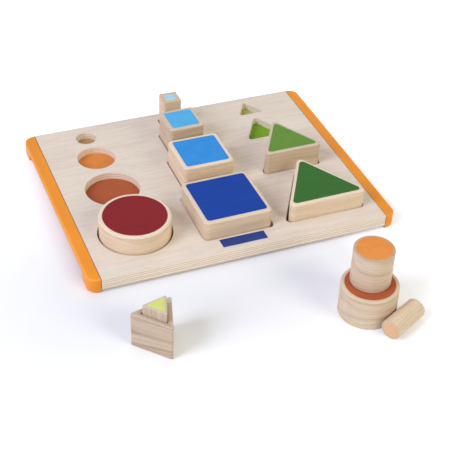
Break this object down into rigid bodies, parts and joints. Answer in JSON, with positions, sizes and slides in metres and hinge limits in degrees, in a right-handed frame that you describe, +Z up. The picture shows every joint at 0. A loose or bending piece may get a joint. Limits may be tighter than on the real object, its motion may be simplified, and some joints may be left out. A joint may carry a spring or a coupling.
{
  "type": "wooden shape sorter",
  "caption": "Plywood sorting board on two side rails, with wells for round, square and triangular wooden blocks in graded sizes that nest in one another from beneath.",
  "frame": {"origin": "on the floor under the middle of the whole set, board and loose blocks together", "axes": "+X to the right along the board's front edge, +Y from the board's front edge to its back edge, +Z up"},
  "size_m": [0.3876, 0.4892, 0.0847],
  "materials": {
    "board_plywood": "pale birch plywood, sanded, clear matt lacquer",
    "backing_plywood": "thin birch plywood, sanded",
    "rail_orange": "solid wood, orange satin paint",
    "dowel_wood": "plain hardwood, glued",
    "label_blue": "thin blue plate with a pale edge, bare",
    "block_wood": "pale solid wood, sanded, clear matt lacquer",
    "paint_round_1": "matt peach paint on wood",
    "paint_round_2": "matt orange paint on wood",
    "paint_round_3": "matt rust paint on wood",
    "paint_round_4": "matt dark red paint on wood",
    "paint_square_1": "matt pale blue paint on wood",
    "paint_square_2": "matt light blue paint on wood",
    "paint_square_3": "matt blue paint on wood",
    "paint_square_4": "matt dark blue paint on wood",
    "paint_triangle_1": "matt lime paint on wood",
    "paint_triangle_2": "matt bright green paint on wood",
    "paint_triangle_3": "matt soft green paint on wood",
    "paint_triangle_4": "matt dark green paint on wood"
  },
  "bodies": {
    "board": {"sorting_board": "board_plywood", "backing_panel": "backing_plywood", "left_rail": "rail_orange", "right_rail": "rail_orange", "label_plate": "label_blue", "left_dowel_front": "dowel_wood", "left_dowel_middle": "dowel_wood", "left_dowel_back": "dowel_wood", "right_dowel_front": "dowel_wood", "right_dowel_middle": "dowel_wood", "right_dowel_back": "dowel_wood", "well_floor_round_1": "paint_round_1", "well_floor_round_2": "paint_round_2", "well_floor_round_3": "paint_round_3", "well_floor_round_4": "paint_round_4", "well_floor_square_1": "paint_square_1", "well_floor_square_2": "paint_square_2", "well_floor_square_3": "paint_square_3", "well_floor_square_4": "paint_square_4", "well_floor_triangle_1": "paint_triangle_1", "well_floor_triangle_2": "paint_triangle_2", "well_floor_triangle_3": "paint_triangle_3", "well_floor_triangle_4": "paint_triangle_4"},
    "round_1": {"round_block_1": "block_wood", "round_face_1": "paint_round_1"},
    "round_2": {"round_block_2": "block_wood", "round_face_2": "paint_round_2"},
    "round_3": {"round_block_3": "block_wood", "round_face_3": "paint_round_3"},
    "round_4": {"round_block_4": "block_wood", "round_face_4": "paint_round_4"},
    "square_1": {"square_block_1": "block_wood", "square_face_1": "paint_square_1"},
    "square_2": {"square_block_2": "block_wood", "square_face_2": "paint_square_2"},
    "square_3": {"square_block_3": "block_wood", "square_face_3": "paint_square_3"},
    "square_4": {"square_block_4": "block_wood", "square_face_4": "paint_square_4"},
    "triangle_1": {"triangle_block_1": "block_wood", "triangle_face_1": "paint_triangle_1"},
    "triangle_2": {"triangle_block_2": "block_wood", "triangle_face_2": "paint_triangle_2"},
    "triangle_3": {"triangle_block_3": "block_wood", "triangle_face_3": "paint_triangle_3"},
    "triangle_4": {"triangle_block_4": "block_wood", "triangle_face_4": "paint_triangle_4"}
  },
  "joints": [
    {"name": "lift_round_1", "type": "slide", "parent": "board", "child": "round_1", "axis": [0, 0, 1], "range_m": [0, 0.06]},
    {"name": "lift_round_2", "type": "slide", "parent": "round_3", "child": "round_2", "axis": [0, 0, 1], "range_m": [0, 0.06]},
    {"name": "lift_round_3", "type": "slide", "parent": "board", "child": "round_3", "axis": [0, 0, 1], "range_m": [0, 0.06]},
    {"name": "lift_round_4", "type": "slide", "parent": "board", "child": "round_4", "axis": [0, 0, 1], "range_m": [0, 0.06]},
    {"name": "lift_square_1", "type": "slide", "parent": "board", "child": "square_1", "axis": [0, 0, 1], "range_m": [0, 0.06]},
    {"name": "lift_square_2", "type": "slide", "parent": "board", "child": "square_2", "axis": [0, 0, 1], "range_m": [0, 0.06]},
    {"name": "lift_square_3", "type": "slide", "parent": "board", "child": "square_3", "axis": [0, 0, 1], "range_m": [0, 0.06]},
    {"name": "lift_square_4", "type": "slide", "parent": "board", "child": "square_4", "axis": [0, 0, 1], "range_m": [0, 0.06]},
    {"name": "lift_triangle_1", "type": "slide", "parent": "triangle_2", "child": "triangle_1", "axis": [0, 0, 1], "range_m": [0, 0.06]},
    {"name": "lift_triangle_2", "type": "slide", "parent": "board", "child": "triangle_2", "axis": [0, 0, 1], "range_m": [0, 0.06]},
    {"name": "lift_triangle_3", "type": "slide", "parent": "board", "child": "triangle_3", "axis": [0, 0, 1], "range_m": [0, 0.06]},
    {"name": "lift_triangle_4", "type": "slide", "parent": "board", "child": "triangle_4", "axis": [0, 0, 1], "range_m": [0, 0.06]}
  ]
}
